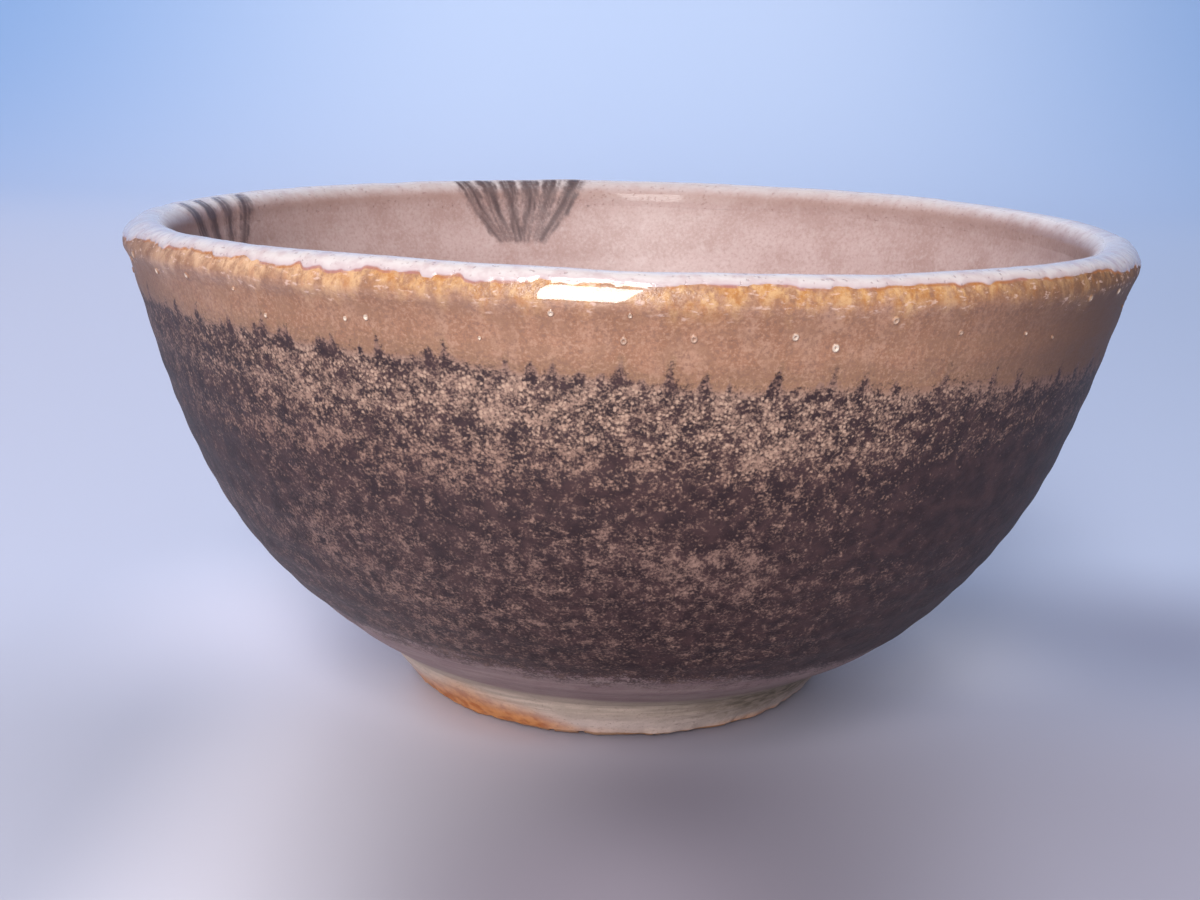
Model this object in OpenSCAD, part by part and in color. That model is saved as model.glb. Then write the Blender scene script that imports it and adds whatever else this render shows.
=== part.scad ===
// Matcha bowl: one thrown and trimmed stoneware body with the coats that are fired onto it.
// The bowl stands on its foot ring at z = 0, and its axis is Z.
// Every coat lies face to face on the clay, and on the next coat, along shared outlines.

/* [Bowl] */
// Widest diameter, over the glaze at the lip
rim_d = 128; // [110:0.5:155]
// Height from the resting face to the top of the lip
bowl_h = 62; // [50:0.5:75]
// Share of the outer wall's swelling that is done low down, and not evenly on the way up
belly_share = 0.56; // [0.4:0.01:0.7]
// How fast that low swelling dies out towards the lip
belly_curl = 3.8; // [2.5:0.1:5]
// How square the inside is: 2 is a plain bowl, more has a flatter floor and a steeper wall
bowl_power = 4.6; // [3.5:0.1:6]

/* [Clay] */
// Clay wall at the lip
lip_t = 4.2; // [3:0.1:6]
// Clay floor above the foot recess
floor_t = 6.4; // [4:0.1:9]

/* [Foot] */
// Diameter of the foot ring at its resting face
foot_d = 53; // [44:0.2:66]
// Height of the foot ring on the outside
foot_h = 6.2; // [4:0.1:8]
// How much wider the ring's radius is at its top than at its resting face
foot_flare = 4.8; // [1:0.1:6]
// Width of the resting face
foot_w = 6.6; // [5:0.1:9]
// Depth of the recess inside the foot ring
recess_h = 5.6; // [4.6:0.1:7]
// Lean of the recess's wall inwards
recess_lean = 1.2; // [0.5:0.1:2]
// Height of the trimming nub left at the middle of the recess
nub_h = 0.9; // [0.5:0.1:1]
// Radius of that nub
nub_r = 4; // [2:0.5:8]
// Rounding of the ring's lower edges
foot_edge = 0.7; // [0.3:0.1:1]

/* [Coats] */
// Glaze on the wall, inside and outside
glaze_t = 0.6; // [0.4:0.05:0.9]
// Thick glaze that rolls over the lip
lip_glaze_t = 0.9; // [0.6:0.05:1.4]
// Thin pale coat on the foot and the skirt above it
foot_coat_t = 0.35; // [0.2:0.05:0.5]
// Depth of the iron brushwork in the inner glaze
paint_t = 0.3; // [0.15:0.05:0.35]
// Angle above level, round the lip's roll, where the white glaze ends outside
white_edge = 38; // [25:1:60]
// How far below the roll's middle the white glaze ends inside
white_drop = 1; // [0.5:0.1:3]
// Height of the amber runs below the white edge, measured from the roll's middle
amber_drop = 1.2; // [0.5:0.1:3]
// Height of the brown band below the amber runs
brown_drop = 5.2; // [3:0.1:12]
// Height above the foot ring at which the dark glaze stops
skirt_h = 3.4; // [2:0.1:8]
// Height of clay left bare at the bottom of the foot ring
bare_h = 0.9; // [0.8:0.1:2]

/* [Brushwork] */
// Length of a main leaf stroke
leaf_len = 7; // [5:0.5:8]
// Width of a main leaf stroke
leaf_w = 2.4; // [1.2:0.1:3]
// Angle between the two leaves of the spray
leaf_spread = 52; // [30:1:80]
// Direction of the spray, round the bowl from +X
spray_at = 108; // [60:1:160]
// Direction of the second cluster of dabs
dabs_at = 163; // [150:1:210]

/* [Hidden] */

steps = 16;                                // spans along a long curve
roll_step = 10;                            // degrees per span round the lip's roll
lip_out_r = rim_d / 2 - lip_glaze_t;       // clay, outside of the lip
lip_in_r = lip_out_r - lip_t;              // clay, inside of the lip
roll_r = lip_t / 2;                        // clay, radius of the lip's roll
roll_mid = lip_out_r - roll_r;             // radius at which the roll's middle lies
lip_z = bowl_h - lip_glaze_t - roll_r;     // height of the roll's middle
foot_r = foot_d / 2;
foot_top_r = foot_r + foot_flare;
floor_z = recess_h + floor_t;              // height of the clay floor
recess_r = foot_r - foot_w;
amber_z = lip_z - amber_drop;
brown_z = amber_z - brown_drop;
skirt_z = foot_h + skirt_h;
white_in_z = lip_z - white_drop;
brush_z = white_in_z - leaf_len / 2 - 0.6; // middle height of the main strokes
brush_r = lip_in_r - glaze_t;              // inside radius near the lip
cut = 4 * glaze_t;                         // reach of a stroke's cutter on each side

// Share of the wall's swelling reached at t, from 0 at the foot to 1 at the lip
function swell(t) = belly_share * (1 - pow(1 - t, belly_curl)) + (1 - belly_share) * t;

// Outside radius of the clay wall at height z
function wall_r(z) = foot_top_r + (lip_out_r - foot_top_r) * swell((z - foot_h) / (lip_z - foot_h));

// Outline of the outer wall between two heights, moved outwards by a coat that may change
function wall_line(z0, z1, coat0 = 0, coat1 = 0, n = steps) =
    [for (i = [0:n]) let (k = i / n, z = z0 + (z1 - z0) * k) [wall_r(z) + coat0 + (coat1 - coat0) * k, z]];

// Outline round the lip's roll from one angle to another, 0 outwards and 180 inwards
function roll_line(a0, a1, coat = 0) =
    let (n = max(1, ceil(abs(a1 - a0) / roll_step)))
    [for (i = [0:n]) let (a = a0 + (a1 - a0) * i / n)
        [roll_mid + (roll_r + coat) * cos(a), lip_z + (roll_r + coat) * sin(a)]];

// Radius of the inside at height z, moved inwards by a coat
function inside_r(z, coat) =
    (lip_in_r - coat) * pow((z - floor_z - coat) / (lip_z - floor_z - coat), 1 / bowl_power);

// Height of the inside at radius r, under a coat
function inside_z(r, coat) =
    floor_z + coat + (lip_z - floor_z - coat) * pow(r / (lip_in_r - coat), bowl_power);

// Outline of the inside from the middle of the floor up to height z1, under a coat
function inside_line(z1, coat) =
    let (r1 = inside_r(z1, coat))
    [for (i = [0:2 * steps]) let (r = r1 * sin(90 * i / (2 * steps))) [r, inside_z(r, coat)]];

// Outline of the lip's inner side from the roll's middle down to height z1
function neck_line(z1, coat) =
    [[inside_r(lip_z, coat), lip_z], [inside_r(z1, coat), z1]];

function reversed(p) = [for (i = [len(p) - 1:-1:0]) p[i]];
function without_first(p) = [for (i = [1:len(p) - 1]) p[i]];

// A solid turned from an outline that is made of several lines joined end to end
module turned(lines) {
    rotate_extrude($fn = 180) polygon([for (line = lines) each line]);
}

// Radius of the foot ring's outside at height z
function foot_side_r(z) = foot_r + foot_flare * z / foot_h;

module clay_body() {
    color([0.74, 0.58, 0.47])
    turned([
        [[0, recess_h - nub_h], [nub_r / 2, recess_h - nub_h], [nub_r, recess_h]],
        [[recess_r - recess_lean, recess_h], [recess_r - foot_edge / 4, foot_edge]],
        [[recess_r + foot_edge / 2, 0], [foot_r - foot_edge, 0]],
        [[foot_side_r(bare_h) - foot_edge / 8, foot_edge], [foot_side_r(bare_h), bare_h]],
        wall_line(foot_h, skirt_z, n = 4),
        without_first(wall_line(skirt_z, brown_z)),
        without_first(wall_line(brown_z, amber_z, n = 4)),
        without_first(wall_line(amber_z, lip_z, n = 1)),
        without_first(roll_line(0, white_edge)),
        without_first(roll_line(white_edge, 90)),
        without_first(roll_line(90, 180)),
        [neck_line(white_in_z, 0)[1]],
        without_first(reversed(inside_line(white_in_z, 0)))
    ]);
}

module glaze_skin(depth) {
    turned([inside_line(white_in_z, glaze_t - depth), reversed(inside_line(white_in_z, glaze_t))]);
}

// One brush stroke with round ends, as a cutter that stands through the inner glaze
module stroke(at, up, length, width, turn) {
    rotate([0, 0, at])
        translate([brush_r - cut * 2, 0, brush_z + up])
            rotate([0, 90, 0])
                rotate([0, 0, turn])
                    linear_extrude(height = cut * 3) {
                        square([length - width, width], center = true);
                        for (end = [-1, 1])
                            translate([end * (length - width) / 2, 0]) circle(d = width, $fn = 32);
                    }
}

// A spray of two leaves with three softer strokes under it, and a cluster of dabs beside it
module brush_strokes() {
    degrees_per_mm = 360 / (PI * brush_r * 2);
    stroke(spray_at + leaf_len / 2 * degrees_per_mm, 0, leaf_len, leaf_w, -leaf_spread / 2);
    stroke(spray_at - leaf_len / 2 * degrees_per_mm, 0, leaf_len, leaf_w, leaf_spread / 2);
    for (i = [-1:1])
        stroke(spray_at + i * leaf_len * degrees_per_mm, -leaf_len * 0.9, leaf_len * 0.7, leaf_w * 0.5, 90);
    for (i = [0:2])
        stroke(dabs_at - i * leaf_w * 1.6 * degrees_per_mm, 0, leaf_len * (0.9 - 0.1 * i), leaf_w, 8 * i);
}

module brush_painting() {
    color([0.24, 0.20, 0.20])
    intersection() {
        glaze_skin(paint_t);
        brush_strokes();
    }
}

module inner_glaze() {
    color([0.80, 0.66, 0.62])
    difference() {
        glaze_skin(glaze_t);
        intersection() {
            glaze_skin(paint_t);
            brush_strokes();
        }
    }
}

module lip_glaze() {
    color([0.93, 0.87, 0.86])
    turned([
        roll_line(white_edge, 90),
        without_first(roll_line(90, 180)),
        [neck_line(white_in_z, 0)[1], neck_line(white_in_z, glaze_t)[1]],
        roll_line(180, 90, lip_glaze_t),
        without_first(roll_line(90, white_edge, lip_glaze_t))
    ]);
}

module amber_runs() {
    color([0.80, 0.52, 0.24])
    turned([
        wall_line(amber_z, lip_z, n = 1),
        without_first(roll_line(0, white_edge)),
        roll_line(white_edge, 0, lip_glaze_t),
        [[wall_r(amber_z) + glaze_t, amber_z]]
    ]);
}

module brown_band() {
    color([0.62, 0.45, 0.38])
    turned([
        wall_line(brown_z, amber_z, n = 4),
        reversed(wall_line(brown_z, amber_z, glaze_t, glaze_t, n = 4))
    ]);
}

module dark_glaze() {
    color([0.30, 0.22, 0.22])
    turned([
        wall_line(skirt_z, brown_z),
        reversed(wall_line(skirt_z, brown_z, glaze_t, glaze_t))
    ]);
}

module foot_coat() {
    color([0.72, 0.66, 0.60])
    turned([
        [[foot_side_r(bare_h), bare_h]],
        wall_line(foot_h, skirt_z, n = 4),
        reversed(wall_line(foot_h, skirt_z, foot_coat_t, glaze_t, n = 4)),
        [[foot_side_r(bare_h) + foot_coat_t, bare_h]]
    ]);
}

clay_body();
inner_glaze();
lip_glaze();
amber_runs();
brown_band();
dark_glaze();
foot_coat();
brush_painting();
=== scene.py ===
"""A wheel-thrown matcha bowl: clay, seven fired coats, a pale sweep and soft studio light.

Lengths inside the modelling functions are in millimetres, and become metres when a mesh is made.
Angles round the bowl are measured from the viewer's side (-Y), and grow towards +X.
"""
import math

import bpy
import numpy as np
from mathutils import Matrix, Vector


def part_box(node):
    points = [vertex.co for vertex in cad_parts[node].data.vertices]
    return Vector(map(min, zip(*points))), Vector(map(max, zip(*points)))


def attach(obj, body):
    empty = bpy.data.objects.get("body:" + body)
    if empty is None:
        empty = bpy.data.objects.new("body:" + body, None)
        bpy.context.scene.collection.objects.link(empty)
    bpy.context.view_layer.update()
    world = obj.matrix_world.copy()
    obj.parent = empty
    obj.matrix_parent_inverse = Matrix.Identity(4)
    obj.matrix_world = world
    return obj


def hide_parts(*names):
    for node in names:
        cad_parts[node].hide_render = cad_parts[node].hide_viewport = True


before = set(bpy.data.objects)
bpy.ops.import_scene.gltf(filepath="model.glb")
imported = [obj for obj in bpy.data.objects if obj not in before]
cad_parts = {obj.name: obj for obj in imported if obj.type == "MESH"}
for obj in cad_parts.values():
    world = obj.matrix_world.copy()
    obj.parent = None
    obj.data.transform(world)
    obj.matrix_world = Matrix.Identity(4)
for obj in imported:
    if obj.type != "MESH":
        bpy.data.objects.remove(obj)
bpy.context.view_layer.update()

MM = 0.001


# ---------------------------------------------------------------- sizes

def box_mm(node):
    """Lowest and highest corner of a CAD node, in millimetres."""
    low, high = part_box(node)
    return np.array(low) / MM, np.array(high) / MM


RIM_R = box_mm("amber_runs")[1][0]          # widest radius, over the glaze
TOP_Z = box_mm("lip_glaze")[1][2]           # top of the lip
LIP_CLAY_R = box_mm("clay_body")[1][0]      # outside of the clay lip
AMBER_Z = box_mm("amber_runs")[0][2]
BROWN_Z = box_mm("brown_band")[0][2]
SKIRT_Z = box_mm("dark_glaze")[0][2]
BARE_Z = box_mm("foot_coat")[0][2]
WHITE_IN_Z = box_mm("lip_glaze")[0][2]      # where the white glaze ends inside
INNER_Z = box_mm("inner_glaze")[0][2]       # underside of the inner glaze, on the clay floor

LIP_GLAZE = RIM_R - LIP_CLAY_R
GLAZE = 0.6
FOOT_COAT = 0.35
LIP_CLAY = 4.2
BELLY_SHARE, BELLY_CURL, BOWL_POWER = 0.56, 3.8, 4.6
FOOT_R, FOOT_H, FOOT_FLARE, FOOT_W = 26.5, 6.2, 4.8, 6.6
RECESS_H, RECESS_LEAN = 5.6, 1.2
FOOT_EDGE = 0.7

ROLL_CLAY_R = LIP_CLAY / 2
ROLL_R = ROLL_CLAY_R + LIP_GLAZE
ROLL_MID = LIP_CLAY_R - ROLL_CLAY_R
LIP_Z = TOP_Z - ROLL_R
FOOT_TOP_R = FOOT_R + FOOT_FLARE
LIP_IN_R = LIP_CLAY_R - LIP_CLAY
FLOW_R = 50.0                               # radius of the cylinder that glaze patterns are laid on


# ---------------------------------------------------------------- noise

def lattice(ix, iy, iz, seed):
    """A repeatable number from 0 to 1 for each lattice point."""
    h = (ix * 374761393 + iy * 668265263 + iz * 1440662683 + seed * 974634777) & 0xFFFFFFFF
    h = ((h ^ (h >> 13)) * 1274126177) & 0xFFFFFFFF
    return ((h ^ (h >> 16)) & 0xFFFF) / 65535.0


def noise(x, y, z, seed):
    """Smooth value noise from -1 to 1 with features about one unit wide."""
    cells, parts = [], []
    for value in (x, y, z):
        cell = np.floor(value).astype(np.int64)
        part = value - cell
        cells.append(cell)
        parts.append(part * part * (3 - 2 * part))
    total = 0
    for dx in (0, 1):
        for dy in (0, 1):
            for dz in (0, 1):
                weight = (
                    (parts[0] if dx else 1 - parts[0])
                    * (parts[1] if dy else 1 - parts[1])
                    * (parts[2] if dz else 1 - parts[2])
                )
                total = total + weight * lattice(cells[0] + dx, cells[1] + dy, cells[2] + dz, seed)
    return total * 2 - 1


def cloud(x, y, z, seed, octaves=3, fade=0.5):
    """Noise in several octaves, from about -1 to 1."""
    total, size, sum_size = 0, 1.0, 0.0
    for k in range(octaves):
        total = total + size * noise(x * 2**k, y * 2**k, z * 2**k, seed + 17 * k)
        sum_size += size
        size *= fade
    return total / sum_size


def round_noise(theta, s, wide, tall, seed, octaves=3):
    """Noise on the bowl's side: wide is its feature size round the bowl, tall along the wall, in mm."""
    return cloud(
        FLOW_R * np.sin(theta) / wide, FLOW_R * np.cos(theta) / wide, s / tall, seed, octaves
    )


def smooth(value, start, end):
    """0 before start, 1 after end, and an S-curve between."""
    t = np.clip((value - start) / (end - start), 0, 1)
    return t * t * (3 - 2 * t)


def bump(value, middle, half):
    """1 at the middle, falling smoothly to 0 about twice the half width away."""
    return np.exp(-(((value - middle) / half) ** 2))


def turn_gap(theta, degrees):
    """Signed angle in degrees from a direction, the short way round."""
    return (np.degrees(theta) - degrees + 180) % 360 - 180


# ---------------------------------------------------------------- turned outlines

def wall_r(z):
    """Outside radius of the clay wall."""
    t = np.clip((z - FOOT_H) / (LIP_Z - FOOT_H), 0, 1)
    swell = BELLY_SHARE * (1 - (1 - t) ** BELLY_CURL) + (1 - BELLY_SHARE) * t
    return FOOT_TOP_R + (LIP_CLAY_R - FOOT_TOP_R) * swell


def foot_side_r(z):
    return FOOT_R + FOOT_FLARE * z / FOOT_H


def inside_z(r, coat):
    depth = LIP_Z - INNER_Z - coat
    return INNER_Z + coat + depth * (r / (LIP_IN_R - coat)) ** BOWL_POWER


class Outline:
    """An outline from the foot, up the outside, over the lip and down to the middle of the inside."""

    STEP = 0.05
    SOFTEN = 0.45

    def __init__(self, points):
        points = np.array(points, float)
        way = np.concatenate([[0], np.cumsum(np.hypot(*np.diff(points, axis=0).T))])
        self.s = np.arange(0, way[-1], self.STEP)
        line = np.stack([np.interp(self.s, way, points[:, k]) for k in (0, 1)])
        reach = int(3 * self.SOFTEN / self.STEP)
        kernel = np.exp(-((np.arange(-reach, reach + 1) * self.STEP / self.SOFTEN) ** 2) / 2)
        kernel /= kernel.sum()
        smoothed = []
        for k in (0, 1):
            first, last = line[k][0], line[k][-1]
            before = 2 * first - line[k][reach:0:-1]
            after = 2 * last - line[k][-2 : -reach - 2 : -1]
            smoothed.append(np.convolve(np.concatenate([before, line[k], after]), kernel, "valid"))
        self.r, self.z = smoothed
        self.r[-1] = 0
        dr, dz = np.gradient(self.r), np.gradient(self.z)
        size = np.hypot(dr, dz)
        self.out_r, self.out_z = dz / size, -dr / size
        self.top = int(np.argmax(self.z))
        self.length = self.s[-1]

    def at(self, s):
        """Radius, height and outward normal at arc length s."""
        return [np.interp(s, self.s, v) for v in (self.r, self.z, self.out_r, self.out_z)]

    def s_outside(self, z):
        return np.interp(z, self.z[: self.top], self.s[: self.top])

    def s_inside(self, z):
        return np.interp(-np.asarray(z), -self.z[self.top :], self.s[self.top :])


def coat_points():
    """The outline of the fired surface."""
    points = []
    for z in np.linspace(BARE_Z * 0.4, FOOT_H, 20):
        points.append((foot_side_r(z) + FOOT_COAT, z))
    for z in np.linspace(FOOT_H + 0.3, AMBER_Z, 150):
        coat = FOOT_COAT + (GLAZE - FOOT_COAT) * np.clip((z - FOOT_H) / (SKIRT_Z - FOOT_H), 0, 1)
        points.append((wall_r(z) + coat, z))
    for a in np.radians(np.linspace(0, 180, 60)):
        points.append((ROLL_MID + ROLL_R * math.cos(a), LIP_Z + ROLL_R * math.sin(a)))
    inner_r = (LIP_IN_R - GLAZE) * ((WHITE_IN_Z - INNER_Z - GLAZE) / (LIP_Z - INNER_Z - GLAZE)) ** (
        1 / BOWL_POWER
    )
    for r in inner_r * np.sin(np.radians(np.linspace(90, 0, 160))):
        points.append((r, inside_z(r, GLAZE)))
    return points


COAT = Outline(coat_points())
S_SKIRT = float(COAT.s_outside(SKIRT_Z))
S_BROWN = float(COAT.s_outside(BROWN_Z))
S_AMBER = float(COAT.s_outside(AMBER_Z))
S_WHITE = float(COAT.s_outside(LIP_Z + ROLL_R * math.sin(math.radians(46))))
S_CREST = float(COAT.s[COAT.top])
S_WHITE_IN = float(COAT.s_inside(WHITE_IN_Z))


# ---------------------------------------------------------------- hand-thrown surface

FOOT_SHIFT = -0.8                           # the foot was trimmed a little off the axis
HIP_SHIFT = 0.55                            # and the wall above it leans back


def thrown(theta, r, z):
    """Puts a point of the perfect turning where the hand-thrown bowl has it, in mm."""
    up = np.clip(z / TOP_Z, 0, 1)
    r = r + up**2 * (0.28 * np.cos(2 * (theta - 0.6)) + 0.12 * np.cos(3 * (theta + 1.1)))
    r = r + up**2 * 0.06 * np.cos(5 * (theta - 2.0))
    z = z + up**4 * (0.32 * np.cos(2 * (theta - math.radians(160))) + 0.10 * np.cos(3 * theta + 0.7))
    z = z + up**6 * 0.12 * round_noise(theta, 0 * z, 16.0, 1.0, 5, 2)
    r = r + 0.42 * bump(z, 0, 1.6) * round_noise(theta, 0 * z, 2.6, 1.0, 7, 3)
    shift = FOOT_SHIFT * (1 - smooth(z, 4, 9)) + HIP_SHIFT * bump(z, 13, 6)
    return r * np.sin(theta) + shift, -r * np.cos(theta), z


def relief(theta, s):
    """How far the fired surface stands off its outline, in mm."""
    outer = 1 - smooth(s, S_CREST, S_CREST + 4)
    wall = outer * smooth(s, S_SKIRT - 2, S_SKIRT + 4)
    rings = np.sin(2 * math.pi * s / 4.6 + theta + 1.6 * round_noise(theta, s, 40, 14, 21, 2))
    up = 0.05 * rings * wall
    up = up + 0.16 * round_noise(theta, s, 17, 13, 31, 3) * wall
    up = up + 0.035 * round_noise(theta, s, 2.6, 16, 41, 2) * wall
    up = up + 0.02 * round_noise(theta, s, 1.3, 1.3, 45, 1) * wall
    lip = bump(s, S_CREST, 4.5)
    up = up + 0.16 * round_noise(theta, s, 9, 7, 51, 3) * lip
    up = up + 0.05 * round_noise(theta, s, 3, 2.5, 55, 2) * lip
    inner = smooth(s, S_CREST + 1, S_CREST + 6)
    fade = 1 - smooth(s, COAT.length - 14, COAT.length - 2)
    inside_rings = np.sin(2 * math.pi * s / 6.4 - theta + 1.2 * round_noise(theta, s, 40, 20, 61, 2))
    up = up + inner * fade * (0.09 * inside_rings + 0.12 * round_noise(theta, s, 18, 12, 71, 3))
    foot = 1 - smooth(s, S_SKIRT - 3, S_SKIRT)
    up = up + foot * 0.07 * round_noise(theta, s, 22, 0.9, 81, 2)
    return up


def white_edge(theta):
    """Arc length at which the white glaze's ragged outer edge lies."""
    drips = np.abs(round_noise(theta, 0, 4.3, 1, 101, 3)) ** 0.8
    steps = smooth(round_noise(theta, 3, 2.7, 1, 103, 3), -0.10, 0.14) - 0.5
    teeth = round_noise(theta, 5, 0.8, 1, 105, 2)
    slow = round_noise(theta, 7, 16, 1, 107, 2)
    calm = 1 - 0.5 * smooth(turn_gap(theta, 0), -16, -6) * smooth(-turn_gap(theta, 0), -75, -50)
    low_side = 1.7 * smooth(np.abs(turn_gap(theta, 0)), 46, 84)
    return S_WHITE - 0.2 - low_side - calm * (0.6 * drips + 0.5 * steps + 0.26 * teeth) - 0.35 * slow


def amber_edge(theta):
    return np.full_like(theta, S_AMBER)


def brown_edge(theta):
    return np.full_like(theta, S_BROWN)


def dark_edge(theta):
    """Arc length of the dark glaze's lower edge, above the skirt."""
    slow = round_noise(theta, 1, 15, 1, 121, 2)
    fine = round_noise(theta, 5, 2.2, 1, 123, 2)
    return S_SKIRT + 0.55 * slow + 0.28 * fine - 0.5 * bump(turn_gap(theta, 60), 0, 25)


def coat_foot_edge(theta):
    """Arc length at which the pale coat gives out on the foot."""
    slow = round_noise(theta, 2, 12, 1, 131, 3)
    return 0.55 + 0.35 * slow + 0.25 * bump(turn_gap(theta, -45), 0, 25)


def white_inner_edge(theta):
    return S_WHITE_IN + 0.25 * round_noise(theta, 4, 7, 1, 141, 2)


LIP_STEP = 0.16                             # how proud the white glaze ends on the amber
DARK_STEP = 0.12                            # how proud the dark glaze ends on the skirt


def coat_surface(theta, s, sink=0.0):
    """Places of the fired surface, or of a layer that lies sink below it, in mm."""
    r, z, out_r, out_z = COAT.at(s)
    step = LIP_STEP * white_bead(theta, s) + DARK_STEP * (smooth(s - dark_edge(theta), -0.1, 0.5) - 1)
    lift = relief(theta, s) + step - sink
    return thrown(theta, r + out_r * lift, z + out_z * lift)


def white_bead(theta, s):
    """1 along the thick rolled edge of the white glaze, falling to 0 outside it at once."""
    gap = s - white_edge(theta)
    front = smooth(gap, -0.15, 0.35) * (1 - 0.6 * smooth(gap, 0.6, 2.5))
    return front * (1 - smooth(s, S_CREST - 1, S_CREST + 2))


# ---------------------------------------------------------------- meshes

def grid_faces(rows, columns, flip=False):
    """Faces of a closed ring of quads: rows of points, each row going once round."""
    j, i = np.meshgrid(np.arange(rows - 1), np.arange(columns), indexing="ij")
    k = (i + 1) % columns
    faces = np.stack([j * columns + i, j * columns + k, (j + 1) * columns + k, (j + 1) * columns + i], -1)
    faces = faces.reshape(-1, 4)
    return faces[:, ::-1] if flip else faces


def strip_uv(theta_part, height_part, strips, low, high):
    """Lays a ring out as strips one above the other, inside the picture's rows from low to high."""
    turn = np.clip(theta_part, 0, 0.999999) * strips
    strip = np.minimum(np.floor(turn[:, :1]), strips - 1)
    u = theta_part * strips - strip
    margin = 0.04
    v = (strip + margin + (1 - 2 * margin) * height_part) / strips
    return np.stack([0.004 + 0.992 * u, low + (high - low) * v], -1)


def make_mesh(name, points_mm, quads, uv, fields):
    """A smooth-shaded object from points in mm, with a bake map and per-point fields."""
    mesh = bpy.data.meshes.new(name)
    mesh.vertices.add(len(points_mm))
    mesh.vertices.foreach_set("co", (points_mm * MM).astype(np.float32).ravel())
    mesh.loops.add(quads.size)
    mesh.loops.foreach_set("vertex_index", quads.astype(np.int32).ravel())
    mesh.polygons.add(len(quads))
    mesh.polygons.foreach_set("loop_start", np.arange(0, quads.size, 4, dtype=np.int32))
    mesh.polygons.foreach_set("loop_total", np.full(len(quads), 4, np.int32))
    mesh.update(calc_edges=True)
    layer = mesh.uv_layers.new(name="OFBake")
    layer.data.foreach_set("uv", uv.astype(np.float32).ravel())
    for key, values in fields.items():
        kind = "FLOAT_VECTOR" if values.ndim == 2 else "FLOAT"
        made = mesh.attributes.new(key, kind, "POINT")
        made.data.foreach_set("vector" if values.ndim == 2 else "value", values.astype(np.float32).ravel())
    mesh.validate()
    mesh.shade_smooth()
    mesh.set_sharp_from_angle(angle=math.radians(50))
    piece = bpy.data.objects.new(name, mesh)
    bpy.context.scene.collection.objects.link(piece)
    return piece


def ring_piece(name, low_edge, high_edge, columns, rows, back_rows, thick, fields, strips, ease=0.0):
    """A closed coat between two edges: its fired face, and a back that lies thick below it."""
    theta = np.arange(columns) * 2 * math.pi / columns - math.pi
    low, high = low_edge(theta), high_edge(theta)

    def sheet(count, sink_at, eased):
        v = np.linspace(0, 1, count)
        v = v + eased * np.sin(math.pi * v) * v * (1 - v)
        s = low + (high - low) * v[:, None]
        t = np.broadcast_to(theta, s.shape)
        x, y, z = coat_surface(t, s, sink_at(v)[:, None])
        return np.stack([x, y, z], -1).reshape(-1, 3), t.ravel(), s.ravel(), v

    rim = 0.02
    front, t0, s0, v0 = sheet(rows, lambda v: 0 * v, ease)

    def back_sink(v):
        """Thin along both edges and full thickness between."""
        return rim + (thick - rim) * smooth(np.minimum(v, 1 - v), 0, 0.12)

    back, t1, s1, v1 = sheet(back_rows, back_sink, 0)
    faces = [grid_faces(rows, columns), grid_faces(back_rows, columns, True) + len(front)]
    i = np.arange(columns)
    k = (i + 1) % columns
    first, last = len(front), len(front) + (back_rows - 1) * columns
    top = (rows - 1) * columns
    low_wall = np.stack([first + i, first + k, k, i], -1)
    high_wall = np.stack([top + i, top + k, last + k, last + i], -1)
    walls = np.stack([low_wall, high_wall])
    faces.append(walls.reshape(-1, 4))
    quads = np.concatenate(faces)

    def uv_of(count, low_v, high_v, v, flip, strip_count):
        j, c = np.meshgrid(np.arange(count - 1), np.arange(columns), indexing="ij")
        j, c = j.ravel(), c.ravel()
        turns = np.stack([c, c + 1, c + 1, c], -1) / columns
        heights = np.stack([v[j], v[j], v[j + 1], v[j + 1]], -1)
        uv = strip_uv(turns, heights, strip_count, low_v, high_v)
        return (uv[:, ::-1] if flip else uv).reshape(-1, 2)

    front_top = 0.94
    uv = [uv_of(rows, 0, front_top, v0, False, strips)]
    uv.append(uv_of(back_rows, front_top + 0.01, 0.975, v1, True, 1))
    wall_v = np.array([0.0, 1.0])
    uv.append(uv_of(2, 0.98, 0.986, wall_v, False, 1))
    uv.append(uv_of(2, 0.99, 0.996, wall_v, False, 1))
    points = np.concatenate([front, back])
    t, s = np.concatenate([t0, t1]), np.concatenate([s0, s1])
    data = {"flow": np.stack([FLOW_R * np.sin(t), FLOW_R * np.cos(t), s], -1)}
    data.update(fields(t, s))
    return make_mesh(name, points, quads, np.concatenate(uv), data)


# ---------------------------------------------------------------- fields of the outer coats

def dark_height(theta):
    """Height at which the dark pigment starts: it slants, higher on the left."""
    return 52 - 2.5 * np.sin(theta)


def streak_places():
    """Dark streaks strewn round the bowl: direction, rise above the dark glaze, width in mm."""
    chance = np.random.default_rng(61)
    places = []
    for at in np.arange(-180, 180, 6):
        places.append((at + chance.uniform(-2, 2), chance.uniform(0.8, 3.2), chance.uniform(0.7, 1.2)))
    return places


def patch_places():
    """Paler patches strewn over the dark glaze: direction, height, half sizes and strength."""
    chance = np.random.default_rng(67)
    places = []
    for at in np.arange(-180, 180, 15):
        height, wide = chance.uniform(25, 42), chance.uniform(7, 13)
        middle, tall = at + chance.uniform(-6, 6), chance.uniform(1.5, 2.6)
        places.append((middle, height, wide, tall, chance.uniform(0.08, 0.24)))
    return places


STREAKS = streak_places()
PALE_PATCHES = patch_places()


def dark_top(theta):
    """Arc length at which the dark pigment starts."""
    z = dark_height(theta)
    return COAT.s_outside(z + 0.8 * round_noise(theta, 13, 7, 1, 203, 3))


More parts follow.
